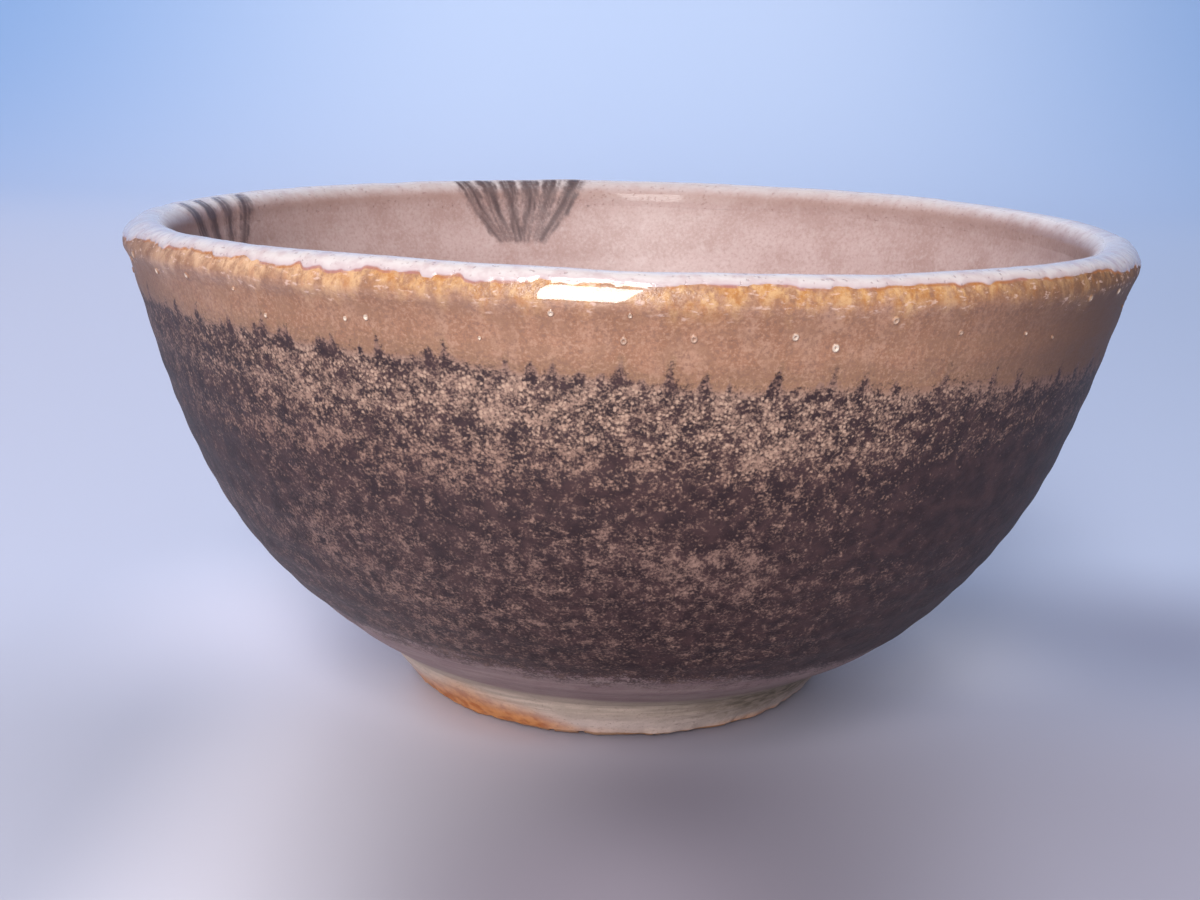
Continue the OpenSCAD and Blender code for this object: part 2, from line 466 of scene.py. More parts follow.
def streaks(theta, s, z, above):
    """Dark streaks above the pigment's edge, from 0 to 1."""
    total = smooth(round_noise(theta, s, 0.9, 9, 205, 2) - 0.16 * above, 0.18, 0.42) * smooth(above, -1, 0)
    for at, rise, wide in STREAKS:
        tip = dark_height(np.radians(at)) + rise
        across = np.radians(turn_gap(theta, at)) * RIM_R + 0.3 * round_noise(theta, s, 30, 2.0, 207, 1)
        along = tip - z
        half = wide * (0.3 + 0.13 * np.clip(along, 0, 4))
        total = np.maximum(total, smooth(along, -0.4, 1.0) * bump(across, 0, half))
    return total


def pigment_at(theta, s):
    """Load of dark pigment; about 0.5 leaves half of the surface dark, in grains."""
    z = COAT.at(s)[1]
    below = dark_top(theta) - s
    above = np.maximum(-below, 0)
    faded = smooth(turn_gap(theta, 0), 8, 30)
    load = -0.45 + 0.38 * np.exp(-above / (1.3 + 0.9 * faded))
    load = load + 0.58 * smooth(below, -0.4 - faded, 1.5 + faded)
    load = load + 0.28 * smooth(below, 5.0, 10.0) - 0.07 * smooth(z, 33, 29)
    load = load + 0.14 * smooth(np.abs(turn_gap(theta, -3)), 20, 50) * smooth(below, 0, 3)
    right, left = smooth(turn_gap(theta, 0), 14, 38), bump(turn_gap(theta, -44), 0, 32)
    load = load + (0.16 * right - 0.08 * left) * smooth(below, 2, 5)
    load = load + (0.60 - 0.2 * faded) * streaks(theta, s, z, above) * (1 - smooth(below, 0, 2))
    fingers = round_noise(theta, s, 1.3, 8, 209, 2)
    wander = 1.3 * round_noise(theta, s, 12, 30, 211, 2)
    for at, height, wide, tall, strength in PALE_PATCHES:
        gap = z + wander - height
        gap = gap - 1.9 * fingers * smooth(-gap, 0, 1)
        side = smooth(1.4 * wide - np.abs(turn_gap(theta, at)), 0, 0.8 * wide)
        load = load - strength * side * bump(gap, 0, tall)
    load = load - 0.2 * bump(z + wander, 43, 1.8)
    zone = smooth(below, 0, 2)
    load = load + zone * 0.13 * round_noise(theta, s, 7, 3.2, 221, 3)
    load = load + zone * 0.11 * fingers
    load = load + zone * 0.10 * smooth(z, SKIRT_Z + 9, SKIRT_Z + 2)
    return load, below


def outer_fields(theta, s):
    """Fields that the outer coats' materials share, so that they run on from piece to piece."""
    z = COAT.at(s)[1]
    pigment, below = pigment_at(theta, s)
    cream = smooth(below, -0.3, 1.5) * (1 - 0.75 * smooth(below, 4.5, 13))
    cream = cream * (1 - 0.5 * smooth(np.abs(turn_gap(theta, -2)), 22, 48))
    depth = smooth(below, 8, 24)
    edge = s - white_edge(theta)
    far = smooth(np.abs(turn_gap(theta, 0)), 48, 74)
    reach = 2.4 + 1.9 * round_noise(theta, 17, 1.5, 1, 241, 2) + 0.8 * round_noise(theta, 19, 9, 1, 243, 2)
    amber = 1 - smooth(-edge, 0.1 * reach, np.maximum(reach, 0.7) * 1.5)
    amber = amber * (1 - 0.7 * far)
    skirt = 13.5 - 2 * np.sin(theta)
    foot = 1 - smooth(z - skirt + 1.5 * round_noise(theta, s, 3.0, 1.4, 245, 3), -3.4, 3.2)
    slip_top = 7.5 + 0.9 * bump(turn_gap(theta, -52), 0, 34) + 0.3 * round_noise(theta, 21, 10, 1, 247, 2)
    pale = 1 - smooth(z, slip_top - 0.6, slip_top + 0.5)
    left = bump(turn_gap(theta, -38), 0, 27)
    right = bump(turn_gap(theta, 46), 0, 24)
    tall = 0.9 + 6.2 * left + 0.6 * right + 0.9 * round_noise(theta, 23, 6, 1, 251, 3)
    flash = 1 - smooth(s, tall * 0.25, np.maximum(tall, 0.3) * 1.2)
    flash = flash * np.clip(1.7 * left + 0.6 * right, 0, 1)
    moss = bump(turn_gap(theta, 42), 0, 27) * bump(z, 5.2, 3.6)
    # Painted shade: a mask that darkens the outer coats on both flanks as seen from the front, most on the
    # right and less again round the back. It also makes those flanks rougher and takes their coat off.
    flank_shade = 0.95 * smooth(turn_gap(theta, 0), 22, 56) + 0.14 * smooth(-turn_gap(theta, 0), 4, 28)
    flank_shade = flank_shade + 0.5 * smooth(-turn_gap(theta, 0), 40, 66)
    flank_shade = flank_shade * (1 - 0.7 * smooth(np.abs(turn_gap(theta, 0)), 75, 110))
    return {
        "pigment": pigment, "cream": cream, "depth": depth, "amber": amber, "edge": edge,
        "foot": foot, "pale": pale, "flash": flash, "moss": moss, "flank_shade": flank_shade, "rise": z,
    }


# ---------------------------------------------------------------- node helper

class Paint:
    """Builds one procedural material."""

    def __init__(self, name, **constants):
        self.material = bpy.data.materials.new(name)
        self.material.use_nodes = True
        self.tree = self.material.node_tree
        self.tree.nodes.clear()
        self.shader = self.tree.nodes.new("ShaderNodeBsdfPrincipled")
        out = self.tree.nodes.new("ShaderNodeOutputMaterial")
        self.tree.links.new(self.shader.outputs[0], out.inputs[0])
        for key, value in constants.items():
            self.shader.inputs[key.replace("_", " ")].default_value = value

    def plug(self, value, socket):
        if isinstance(value, bpy.types.NodeSocket):
            self.tree.links.new(value, socket)
        else:
            socket.default_value = value

    def field(self, name, vector=False):
        node = self.tree.nodes.new("ShaderNodeAttribute")
        node.attribute_name = name
        return node.outputs["Vector" if vector else "Fac"]

    def flow(self, wide=1.0, tall=1.0):
        """Coordinates laid round the bowl, in units of wide by tall millimetres."""
        node = self.tree.nodes.new("ShaderNodeVectorMath")
        node.operation = "MULTIPLY"
        self.plug(self.field("flow", True), node.inputs[0])
        node.inputs[1].default_value = (1 / wide, 1 / wide, 1 / tall)
        return node.outputs[0]

    def place(self, size=1.0):
        """The point's place in the object, in units of size millimetres."""
        coords = self.tree.nodes.new("ShaderNodeTexCoord")
        node = self.tree.nodes.new("ShaderNodeVectorMath")
        node.operation = "SCALE"
        self.plug(coords.outputs["Object"], node.inputs[0])
        node.inputs["Scale"].default_value = 1 / (size * MM)
        return node.outputs[0]

    def axis(self, name):
        """One coordinate of the point's place in the object, in millimetres."""
        split = self.tree.nodes.new("ShaderNodeSeparateXYZ")
        self.plug(self.place(), split.inputs[0])
        return split.outputs[name]

    def noise(self, coordinates, detail=2.0, rough=0.5, lacunarity=2.0):
        node = self.tree.nodes.new("ShaderNodeTexNoise")
        self.plug(coordinates, node.inputs["Vector"])
        node.inputs["Scale"].default_value = 1.0
        node.inputs["Detail"].default_value = detail
        node.inputs["Roughness"].default_value = rough
        node.inputs["Lacunarity"].default_value = lacunarity
        return node.outputs["Fac"]

    def cells(self, coordinates, feature="F1"):
        node = self.tree.nodes.new("ShaderNodeTexVoronoi")
        node.feature = feature
        self.plug(coordinates, node.inputs["Vector"])
        node.inputs["Scale"].default_value = 1.0
        return node.outputs["Distance"]

    def dots(self, coordinates):
        """Round dots about one unit wide, each with a strength of its own from 0 to 1."""
        node = self.tree.nodes.new("ShaderNodeTexVoronoi")
        self.plug(coordinates, node.inputs["Vector"])
        node.inputs["Scale"].default_value = 1.0
        split = self.tree.nodes.new("ShaderNodeSeparateColor")
        self.plug(node.outputs["Color"], split.inputs[0])
        disc = self.ease(node.outputs["Distance"], 0.15, 0.62, 1.0, 0.0)
        return self.sum("MULTIPLY", disc, split.outputs[0])

    def sum(self, operation, a, b=0.0, c=0.0, clamp=False):
        node = self.tree.nodes.new("ShaderNodeMath")
        node.operation = operation
        node.use_clamp = clamp
        for value, socket in zip((a, b, c), node.inputs):
            self.plug(value, socket)
        return node.outputs[0]

    def ease(self, value, start, end, low=0.0, high=1.0):
        """Maps a value from start..end to low..high with an S-curve."""
        node = self.tree.nodes.new("ShaderNodeMapRange")
        node.interpolation_type = "SMOOTHSTEP"
        self.plug(value, node.inputs["Value"])
        for key, number in (("From Min", start), ("From Max", end), ("To Min", low), ("To Max", high)):
            self.plug(number, node.inputs[key])
        return node.outputs["Result"]

    def mix(self, share, a, b):
        node = self.tree.nodes.new("ShaderNodeMix")
        node.data_type = "RGBA"
        self.plug(share, node.inputs[0])
        self.plug(a, node.inputs[6])
        self.plug(b, node.inputs[7])
        return node.outputs[2]

    def bump(self, height, depth_mm, below=None):
        node = self.tree.nodes.new("ShaderNodeBump")
        node.inputs["Strength"].default_value = 1.0
        node.inputs["Distance"].default_value = depth_mm * MM
        self.plug(height, node.inputs["Height"])
        if below is not None:
            self.plug(below, node.inputs["Normal"])
        return node.outputs["Normal"]

    def finish(self, colour, rough, normal):
        self.plug(colour, self.shader.inputs["Base Color"])
        self.plug(rough, self.shader.inputs["Roughness"])
        self.plug(normal, self.shader.inputs["Normal"])
        return self.material


def rgb(red, green, blue):
    return (red, green, blue, 1.0)


# ---------------------------------------------------------------- materials

BROWN, BROWN_DEEP = rgb(0.385, 0.195, 0.122), rgb(0.32, 0.155, 0.092)
BROWN_OLIVE, BROWN_SHADE = rgb(0.30, 0.17, 0.10), rgb(0.33, 0.17, 0.11)
# The last colour on the next line is painted shade for the band's flanks.
BROWN_PALE, BROWN_DUST, BROWN_FLANK_SHADE = rgb(0.46, 0.27, 0.19), rgb(0.26, 0.14, 0.10), rgb(0.135, 0.066, 0.040)
# The last colour on the next line is a painted highlight for the amber.
AMBER, AMBER_DEEP, HIGHLIGHT_PINK = rgb(0.65, 0.39, 0.19), rgb(0.45, 0.19, 0.055), rgb(0.74, 0.52, 0.44)
CREAM, ROSE, ROSE_DEEP = rgb(0.52, 0.345, 0.255), rgb(0.29, 0.165, 0.125), rgb(0.225, 0.13, 0.11)
# Painted shade colour for the pale grains on the flanks.
ROSE_FLANK_SHADE = rgb(0.13, 0.065, 0.058)
IRON, IRON_WARM = rgb(0.028, 0.014, 0.017), rgb(0.060, 0.030, 0.031)
MAUVE, MAUVE_PALE = rgb(0.25, 0.165, 0.17), rgb(0.32, 0.235, 0.225)
SLIP, SLIP_COOL, SLIP_DUST = rgb(0.62, 0.49, 0.41), rgb(0.45, 0.36, 0.30), rgb(0.30, 0.22, 0.18)
FLASH, FLASH_DEEP = rgb(0.60, 0.25, 0.085), rgb(0.42, 0.13, 0.035)
SLIP_ROSE, MOSS, SLIP_GREEN = rgb(0.64, 0.51, 0.46), rgb(0.085, 0.065, 0.038), rgb(0.30, 0.25, 0.19)
# The last colour on the next line is painted shade for the back of the lip.
WHITE, WHITE_ROSE, WHITE_SHADED_BACK = rgb(0.66, 0.59, 0.585), rgb(0.54, 0.42, 0.43), rgb(0.49, 0.42, 0.43)
PLUM, RUST = rgb(0.36, 0.16, 0.17), rgb(0.40, 0.15, 0.05)
BLUSH, BLUSH_DEEP, BLUSH_PALE = rgb(0.50, 0.36, 0.345), rgb(0.42, 0.28, 0.26), rgb(0.57, 0.45, 0.435)
BLUSH_DUST, BLUSH_THIN = rgb(0.35, 0.225, 0.195), rgb(0.33, 0.20, 0.17)
INK, INK_BROWN = rgb(0.058, 0.038, 0.044), rgb(0.12, 0.075, 0.075)
CLAY, CLAY_PALE = rgb(0.40, 0.235, 0.145), rgb(0.52, 0.37, 0.26)


def grey(level):
    return rgb(level, level, level)


def brown_colour(p, streak):
    """The glossy brown of the band under the lip, streaked downwards, and amber where it is thick, with
    painted shade on its flanks, painted pale glints on the amber and a painted highlight that makes the amber
    paler on the left.
    """
    mottle = p.noise(p.flow(2.2, 5), 3.0, 0.6)
    brown = p.mix(p.ease(streak, 0.36, 0.64), BROWN, BROWN_DEEP)
    brown = p.mix(p.ease(mottle, 0.48, 0.68, 0.0, 0.6), brown, BROWN_PALE)
    blotch = p.noise(p.flow(2.6, 2.0), 4.0, 0.65)
    low = p.sum("MULTIPLY_ADD", p.sum("SUBTRACT", blotch, 0.5), 1.2, p.field("pigment"))
    brown = p.mix(p.ease(low, -0.50, -0.10, 0.0, 0.75), brown, BROWN_OLIVE)
    dust = p.noise(p.place(0.42), 4.0, 0.7)
    brown = p.mix(p.ease(dust, 0.48, 0.64, 0.0, 0.85), brown, BROWN_DUST)
    brown = p.mix(p.ease(dust, 0.50, 0.36, 0.0, 0.75), brown, BROWN_PALE)
    brown = p.mix(p.ease(blotch, 0.50, 0.66, 0.0, 0.5), brown, BROWN_SHADE)
    # Painted shade: the brown darkens on the flanks, and the amber thins out there too.
    brown = p.mix(p.field("flank_shade"), brown, BROWN_FLANK_SHADE)
    patchy = p.ease(p.noise(p.flow(1.2, 2.2), 4.0, 0.65), 0.38, 0.60, 0.15, 1.0)
    patchy = p.sum("MULTIPLY", patchy, p.ease(p.field("flank_shade"), 0.1, 0.6, 1.0, 0.45))
    share = p.sum("MULTIPLY", p.field("amber"), patchy, clamp=True)
    tooth = p.noise(p.flow(1.0, 1.8), 4.0, 0.7)
    amber = p.mix(p.ease(tooth, 0.38, 0.68), AMBER, AMBER_DEEP)
    amber = p.mix(p.ease(dust, 0.54, 0.66, 0.0, 0.6), amber, AMBER_DEEP)
    # Painted highlight: the amber turns paler and pinker towards the left.
    amber = p.mix(p.ease(p.axis("X"), -15.0, -50.0, 0.0, 0.4), amber, HIGHLIGHT_PINK)
    colour = p.mix(share, brown, amber)
    # Painted highlights: pale pink specks over the amber stand in for small glints on the glossy glaze.
    glints = p.ease(p.noise(p.flow(0.9, 0.5), 3.0, 0.6), 0.56, 0.70, 0.0, 0.6)
    reach = p.ease(p.field("amber"), 0.0, 0.35)
    return p.mix(p.sum("MULTIPLY", glints, reach), colour, HIGHLIGHT_PINK)


def foot_colour(p, turning):
    """The thin skirt and the pale slip on the foot, with turning marks, flashing and a mossy patch."""
    blot = p.noise(p.place(3.5), 3.0, 0.6)
    mauve = p.mix(p.ease(turning, 0.4, 0.7), MAUVE, MAUVE_PALE)
    mauve = p.mix(p.ease(blot, 0.45, 0.7, 0.0, 0.6), mauve, MAUVE_PALE)
    slip = p.mix(p.ease(turning, 0.38, 0.68), SLIP, SLIP_COOL)
    slip = p.mix(p.ease(p.field("rise"), 4.8, 2.2, 0.0, 0.85), slip, SLIP_ROSE)
    slip = p.mix(p.ease(p.noise(p.place(0.5), 2.0, 0.6), 0.55, 0.75, 0.0, 0.5), slip, SLIP_DUST)
    slip = p.mix(p.ease(blot, 0.5, 0.75, 0.0, 0.6), slip, SLIP_COOL)
    high = p.sum("MULTIPLY_ADD", blot, 2.0, p.field("rise"))
    slip = p.mix(p.ease(high, 5.5, 8.5, 0.0, 0.5), slip, SLIP_GREEN)
    foot = p.mix(p.field("pale"), mauve, slip)
    moss = p.sum("MULTIPLY", p.field("moss"), p.ease(p.noise(p.flow(3, 0.8), 2.0), 0.35, 0.6, 0.65, 1.0))
    foot = p.mix(moss, foot, MOSS)
    flash = p.mix(p.ease(p.noise(p.place(1.6), 3.0), 0.4, 0.65), FLASH, FLASH_DEEP)
    return p.mix(p.field("flash"), foot, flash)


def broken(p):
    """Where the thin line along the white glaze's edge shows, from 0 to 1."""
    return p.ease(p.noise(p.flow(2.4, 2.4), 3.0, 0.65), 0.40, 0.60)


def line_colour(p):
    """That line is plum in places and rusty in others."""
    return p.mix(p.ease(p.noise(p.flow(9, 9), 2.0), 0.44, 0.56), PLUM, RUST)


def outer_paint(name, spotted=False):
    """The outer coats: brown over dark speckled iron glaze, amber at the lip, pale slip at the foot."""
    p = Paint(name, IOR=1.42, Coat_Roughness=0.03)
    fine = p.noise(p.place(0.30), 3.0, 0.65)
    coarse = p.noise(p.place(1.3), 4.0, 0.62)
    dots = p.dots(p.place(0.43))
    load = p.sum("MULTIPLY_ADD", p.sum("SUBTRACT", fine, 0.5), 1.9, p.field("pigment"))
    load = p.sum("MULTIPLY_ADD", p.sum("SUBTRACT", coarse, 0.5), 1.9, load)
    grains = p.mix(p.field("depth"), grey(0.46), grey(0.20))
    load = p.sum("MULTIPLY_ADD", p.sum("SUBTRACT", 0.2, dots), grains, load)
    dark = p.ease(load, 0.04, 0.84)

    streak = p.noise(p.flow(1.5, 17), 3.0, 0.55)
    brown = brown_colour(p, streak)
    rose = p.mix(p.field("depth"), ROSE, ROSE_DEEP)
    pale = p.sum("MULTIPLY", p.field("cream"), p.ease(dots, 0.0, 0.6, 0.45, 1.0), clamp=True)
    speck = p.mix(pale, rose, CREAM)
    # Painted shade: the pale grains of the dark glaze are darkened on the flanks.
    speck = p.mix(p.sum("MULTIPLY", p.field("flank_shade"), 0.7), speck, ROSE_FLANK_SHADE)
    zone = p.ease(p.field("pigment"), 0.0, 0.38)
    light = p.mix(zone, brown, speck)
    iron = p.mix(p.ease(p.noise(p.place(2.2), 3.0, 0.6), 0.35, 0.7), IRON, IRON_WARM)
    colour = p.mix(dark, light, iron)

    turning = p.noise(p.flow(14, 0.7), 3.0, 0.6)
    skirt = p.sum("MULTIPLY_ADD", p.sum("SUBTRACT", fine, 0.5), 2.6, p.sum("MULTIPLY", p.field("foot"), 1.5))
    skirt = p.ease(p.sum("MULTIPLY_ADD", p.sum("SUBTRACT", coarse, 0.5), 2.0, skirt), 0.45, 1.2)
    skirt = p.sum("MULTIPLY", skirt, p.ease(p.field("foot"), 0.0, 0.25))
    colour = p.mix(skirt, colour, foot_colour(p, turning))
    line = p.ease(p.sum("ABSOLUTE", p.sum("ADD", p.field("edge"), 0.1)), 0.0, 0.24, 0.8, 0.0)
    colour = p.mix(p.sum("MULTIPLY", line, broken(p)), colour, line_colour(p))
    if spotted:
        colour = p.mix(p.ease(p.field("chalk"), 0.0, 1.0), colour, rgb(0.72, 0.60, 0.50))

    satin = p.mix(p.field("amber"), p.mix(zone, grey(0.28), grey(0.44)), grey(0.14))
    satin = p.mix(p.field("flank_shade"), satin, grey(0.55))
    rough = p.mix(skirt, p.sum("MULTIPLY_ADD", fine, 0.14, satin), grey(0.60))
    near_lip = p.ease(p.field("edge"), -3.6, -2.2, 0.0, 0.9)
    gloss = p.sum("MULTIPLY", near_lip, p.ease(p.field("flank_shade"), 0.0, 0.3, 1.0, 0.0))
    p.plug(gloss, p.shader.inputs["Coat Weight"])
    lumps = p.bump(p.sum("ADD", fine, coarse), 0.035)
    skin = p.bump(p.noise(p.flow(1.6, 0.9), 2.0, 0.5), 0.06, lumps)
    normal = p.bump(turning, 0.02, skin)
    return p.finish(colour, rough, normal)


def inside_colour(p):
    """White on the crest of the lip, greyer towards the back as painted shade, giving way to pinkish beige
    with faint crazing further in.
    """
    mottle = p.noise(p.place(1.9), 3.0, 0.6)
    white = p.mix(p.ease(mottle, 0.42, 0.72, 0.0, 0.8), WHITE, WHITE_ROSE)
    # Painted shade: the white grows greyer towards the back of the bowl.
    white = p.mix(p.ease(p.axis("Y"), 5.0, 50.0, 0.0, 0.55), white, WHITE_SHADED_BACK)
    cloud_in = p.noise(p.place(7.0), 4.0, 0.6)
    beige = p.mix(p.ease(cloud_in, 0.35, 0.7), BLUSH, BLUSH_DEEP)
    beige = p.mix(p.ease(p.noise(p.place(2.2), 3.0, 0.6), 0.5, 0.75, 0.0, 0.4), beige, BLUSH_PALE)
    fine = p.noise(p.place(0.5), 3.0, 0.6)
    beige = p.mix(p.ease(fine, 0.50, 0.68, 0.0, 0.42), beige, BLUSH_DUST)
    beige = p.mix(p.ease(fine, 0.48, 0.34, 0.0, 0.35), beige, BLUSH_PALE)
    beige = p.mix(p.field("lipshade"), beige, BLUSH_THIN)
    craze = p.cells(p.place(3.4), "DISTANCE_TO_EDGE")
    beige = p.mix(p.ease(craze, 0.0, 0.03, 0.09, 0.0), beige, rgb(0.26, 0.16, 0.12))
    ragged = p.sum("MULTIPLY_ADD", p.sum("SUBTRACT", mottle, 0.5), 1.2, p.field("past"))
    return p.mix(p.ease(ragged, 1.4, 3.7), white, beige), mottle


def inside_rough(p, mottle):
    return p.sum("MULTIPLY_ADD", mottle, 0.14, p.ease(p.field("past"), 0.8, 2.6, 0.14, 0.42))


def lip_paint():
    """Thick pinkish white glaze with pinholes, thin and mauve along its ragged edge."""
    p = Paint("white_lip_glaze", IOR=1.5, Coat_Roughness=0.06, Coat_Weight=0.2)
    white, mottle = inside_colour(p)
    pores = p.ease(p.noise(p.place(0.5), 1.0, 0.5), 0.64, 0.76)
    white = p.mix(p.sum("MULTIPLY", pores, 0.5), white, rgb(0.36, 0.22, 0.21))
    white = p.mix(p.ease(p.field("edge"), 0.0, 0.8, 0.8, 0.0), white, WHITE_ROSE)
    line = p.ease(p.field("edge"), 0.0, 0.18, 0.8, 0.0)
    white = p.mix(p.sum("MULTIPLY", line, broken(p)), white, line_colour(p))
    normal = p.bump(p.noise(p.place(1.3), 3.0, 0.55), 0.06)
    normal = p.bump(pores, -0.05, normal)
    return p.finish(white, inside_rough(p, mottle), normal)


def inner_paint():
    p = Paint("inner_glaze", IOR=1.5)
    colour, mottle = inside_colour(p)
    return p.finish(colour, inside_rough(p, mottle), p.bump(p.noise(p.place(1.6), 3.0, 0.5), 0.06))


def brush_paint():
    """Iron ink, dense or thin by its field, over the glaze's own colour."""
    p = Paint("iron_brushwork", IOR=1.5)
    colour, mottle = inside_colour(p)
    grain = p.noise(p.place(0.45), 2.0, 0.6)
    load = p.sum("MULTIPLY_ADD", p.sum("SUBTRACT", grain, 0.5), 0.5, p.field("ink"))
    ink = p.mix(p.ease(grain, 0.35, 0.7), INK, INK_BROWN)
    colour = p.mix(p.ease(load, 0.03, 0.80, 0.0, 0.94), colour, ink)
    return p.finish(colour, inside_rough(p, mottle), p.bump(p.noise(p.place(1.6), 3.0, 0.5), 0.06))


def clay_paint():
    """Bare fired clay, with grog, trimming lines and orange flashing at the foot's edge."""
    p = Paint("bare_clay", IOR=1.45)
    mottle = p.noise(p.place(5.0), 4.0, 0.6)
    colour = p.mix(p.ease(mottle, 0.35, 0.7), CLAY, CLAY_PALE)
    grog = p.noise(p.place(0.7), 2.0, 0.6)
    colour = p.mix(p.ease(grog, 0.56, 0.74, 0.0, 0.55), colour, rgb(0.24, 0.13, 0.08))
    colour = p.mix(p.ease(grog, 0.40, 0.28, 0.0, 0.5), colour, rgb(0.62, 0.50, 0.40))
    flash = p.mix(p.ease(mottle, 0.4, 0.65), FLASH, FLASH_DEEP)
    colour = p.mix(p.field("flash"), colour, flash)
    rough = p.sum("MULTIPLY_ADD", grog, 0.2, 0.62)
    normal = p.bump(grog, 0.10)
    normal = p.bump(p.noise(p.place(0.25), 2.0, 0.5), 0.03, normal)
    return p.finish(colour, rough, normal)


# ---------------------------------------------------------------- pieces

def place_piece(piece, node, material):
    piece.data.materials.append(material)
    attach(piece, "root")
    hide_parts(node)
    return piece


def clay_points():
    """Closed outline of the clay, from the middle of the recess out, up, over and back to the axis."""
    recess_r = FOOT_R - FOOT_W
    points = [(0.0, RECESS_H - 0.9), (2.0, RECESS_H - 0.85), (4.0, RECESS_H)]
    points += [(recess_r - RECESS_LEAN - 0.6, RECESS_H), (recess_r - RECESS_LEAN, RECESS_H - 0.6)]
    points += [(recess_r - 0.1, FOOT_EDGE), (recess_r + 0.15, FOOT_EDGE * 0.35), (recess_r + 0.6, 0.0)]
    points += [(FOOT_R - FOOT_EDGE, 0.0), (FOOT_R - 0.15, FOOT_EDGE * 0.3)]
    points += [(foot_side_r(FOOT_EDGE), FOOT_EDGE)]
    points += [(foot_side_r(z), z) for z in np.linspace(1.2, FOOT_H, 8)]
    points += [(wall_r(z), z) for z in np.linspace(FOOT_H + 1, LIP_Z, 24)]
    for a in np.radians(np.linspace(15, 180, 12)):
        points.append((ROLL_MID + ROLL_CLAY_R * math.cos(a), LIP_Z + ROLL_CLAY_R * math.sin(a)))
    points += [(r, inside_z(r, 0)) for r in LIP_IN_R * np.sin(np.radians(np.linspace(86, 0, 26)))]
    return np.array(points, float)


def foot_detail(theta, r, z):
    """Trimming grooves and small chips on the bare clay of the foot, in mm along r and z."""
    recess = 1 - smooth(r, FOOT_R - FOOT_W - 1.5, FOOT_R - FOOT_W - 0.5)
    under = smooth(z, 7.0, 6.0)
    spiral = np.sin(2 * math.pi * (r / 2.3 - theta / (2 * math.pi)))
    dz = 0.10 * spiral * recess * under * smooth(r, 0.5, 3)
    dz = dz + 0.10 * cloud(r * np.sin(theta) / 6, r * np.cos(theta) / 6, z / 6, 301) * recess * under
    ring = smooth(r, FOOT_R - FOOT_W - 0.2, FOOT_R - FOOT_W + 0.6) * (1 - smooth(z, 0.6, 1.6))
    rough = cloud(r * np.sin(theta) / 1.4, r * np.cos(theta) / 1.4, z / 1.4, 311)
    edge = bump(r, FOOT_R, 0.8) + bump(r, FOOT_R - FOOT_W, 0.8)
    chips = smooth(round_noise(theta, 29, 2.2, 1, 321, 2), 0.35, 0.6) * edge
    dz = dz + ring * (0.05 * np.maximum(rough, 0) + 0.35 * chips)
    dr = -ring * 0.25 * chips * np.sign(r - FOOT_R + FOOT_W / 2)
    return dr, dz


def clay_body():
    """The clay: detail goes to the foot and its recess, which are what shows."""
    columns = 720
    outline = clay_points()
    way = np.concatenate([[0], np.cumsum(np.hypot(*np.diff(outline, axis=0).T))])
    shown = way[int(np.argmax(outline[:, 1] > FOOT_H))]
    fine_stops = np.linspace(0.25, shown, 92, endpoint=False)
    stops = np.concatenate([fine_stops, np.linspace(shown, way[-1] - 0.3, 36)])
    r = np.interp(stops, way, outline[:, 0])
    z = np.interp(stops, way, outline[:, 1])
    theta = np.arange(columns) * 2 * math.pi / columns - math.pi
    t, r = np.broadcast_arrays(theta, r[:, None])
    z = np.broadcast_to(z[:, None], r.shape)
    dr, dz = foot_detail(t, r, z)
    x, y, z = thrown(t, r + dr, z + dz)
    points = np.stack([x, y, np.maximum(z, 0)], -1).reshape(-1, 3)
    rows = len(stops)
    quads = grid_faces(rows, columns)
    ends = []
    for row in (0, rows - 1):
        loop = points[row * columns : (row + 1) * columns]
        ends.append(loop.mean(0))
    points = np.concatenate([points, np.array(ends)])
    i = np.arange(0, columns, 2)
    k, m = (i + 1) % columns, (i + 2) % columns
    low, last = np.full_like(i, rows * columns), (rows - 1) * columns
    low_cap = np.stack([low, m, k, i], -1)
    high_cap = np.stack([last + i, last + k, last + m, low + 1], -1)
    quads = np.concatenate([quads, low_cap, high_cap])
    span = np.concatenate([np.repeat(stops, columns), [0, way[-1]]])
    hidden = span > shown + 1.0
    disc = points[:, :2] / np.maximum(np.hypot(points[:, 0], points[:, 1]), 1e-6)[:, None]
    reach = np.where(hidden, 0.02 + 0.05 * (span - shown) / (way[-1] - shown), 0.48 * span / (shown + 1.0))
    reach = reach[:, None]
    uv_points = np.where(hidden[:, None], 0.92 + 0.9 * disc * reach * 0.8, 0.48 + disc * reach)
    uv = uv_points[quads.ravel()]
    t_all = np.concatenate([np.repeat(theta[None], rows, 0).ravel(), [0, 0]])
    left = bump(turn_gap(t_all, -46), 0, 34)
    right = bump(turn_gap(t_all, 42), 0, 30)
    rim = smooth(np.hypot(points[:, 0], points[:, 1]), FOOT_R - 2.5, FOOT_R)
    flash = np.clip(0.04 + left + 0.5 * right, 0, 1) * rim
    piece = make_mesh("clay_body_mesh", points, quads, uv, {"flash": flash})
    return place_piece(piece, "clay_body", clay_paint())


def inner_shade(s):
    """Where the inner glaze is thin and brown, just inside the lip."""
    return 0.55 * bump(s, S_CREST + 3.9, 0.9) + 0.12 * bump(s, S_CREST + 6.2, 2.0)


def lip_fields(theta, s):
    """Fields of the white glaze on the lip."""
    return {"edge": s - white_edge(theta), "past": s - S_CREST, "lipshade": inner_shade(s)}


def lip_glaze():
    piece = ring_piece("lip_glaze_mesh", white_edge, white_inner_edge, 1440, 44, 18, 0.8, lip_fields, 8, -0.9)
    return place_piece(piece, "lip_glaze", lip_paint())


